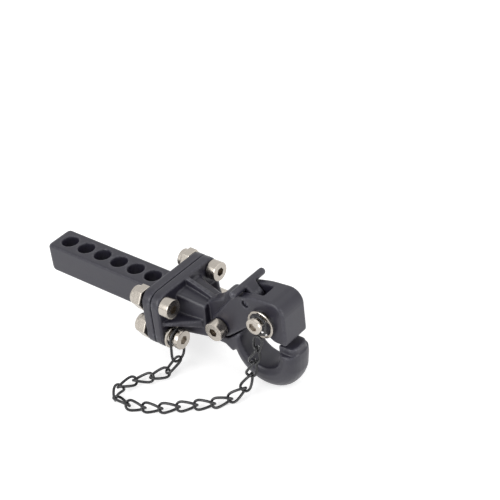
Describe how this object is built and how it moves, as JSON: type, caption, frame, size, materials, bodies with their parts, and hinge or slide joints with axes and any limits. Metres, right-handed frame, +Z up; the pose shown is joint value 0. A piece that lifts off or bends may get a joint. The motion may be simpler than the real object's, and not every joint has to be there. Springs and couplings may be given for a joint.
{
  "type": "recovery tow hook",
  "caption": "Recovery tow hook with a drilled square shank, bolted flange, open lower hook, hinged upper jaw with a T-shaped latch, and a safety chain from flange bolt to lock bolt.",
  "frame": {"origin": "centre of the shank bar's rear end face", "axes": "+X along the bar towards the hook, +Y across the bar, away from the side with the chain, +Z up with the hook's throat closed by the jaw from above"},
  "size_m": [0.0587, 0.0298, 0.0208],
  "materials": {
    "black_coated_metal": "satin black coating over cast metal",
    "nickel_plated_steel": "bright nickel plate",
    "black_chain": "blackened steel wire, slightly glossy"
  },
  "bodies": {
    "base": {"receiver_bar": "black_coated_metal", "hook_body": "black_coated_metal", "flange_bolt_1": "nickel_plated_steel", "flange_bolt_2": "nickel_plated_steel", "flange_bolt_3": "nickel_plated_steel", "flange_bolt_4": "nickel_plated_steel", "flange_nut_1": "nickel_plated_steel", "flange_nut_2": "nickel_plated_steel", "flange_nut_3": "nickel_plated_steel", "flange_nut_4": "nickel_plated_steel", "flange_ring": "nickel_plated_steel", "chain_link_01": "black_chain", "chain_link_02": "black_chain", "chain_link_03": "black_chain", "chain_link_04": "black_chain", "chain_link_05": "black_chain", "chain_link_06": "black_chain", "chain_link_07": "black_chain", "chain_link_08": "black_chain", "chain_link_09": "black_chain", "chain_link_10": "black_chain", "chain_link_11": "black_chain", "chain_link_12": "black_chain", "chain_link_13": "black_chain", "chain_link_14": "black_chain", "chain_link_15": "black_chain", "chain_link_16": "black_chain", "chain_link_17": "black_chain", "chain_link_18": "black_chain"},
    "jaw": {"upper_jaw": "black_coated_metal", "latch_pin": "black_coated_metal", "pivot_bolt": "nickel_plated_steel", "lock_bolt": "nickel_plated_steel", "lock_ring": "nickel_plated_steel", "chain_link_19": "black_chain"},
    "latch": {"latch": "black_coated_metal"}
  },
  "joints": [
    {"name": "jaw_hinge", "type": "hinge", "parent": "base", "child": "jaw", "pos_m": [0.043, 0, 0.00085], "axis": [0, -1, 0], "range_deg": [0, 50]},
    {"name": "latch_hinge", "type": "hinge", "parent": "jaw", "child": "latch", "pos_m": [0.04932, 0, 0.00819], "axis": [0, 1, 0], "range_deg": [0, 40]}
  ]
}
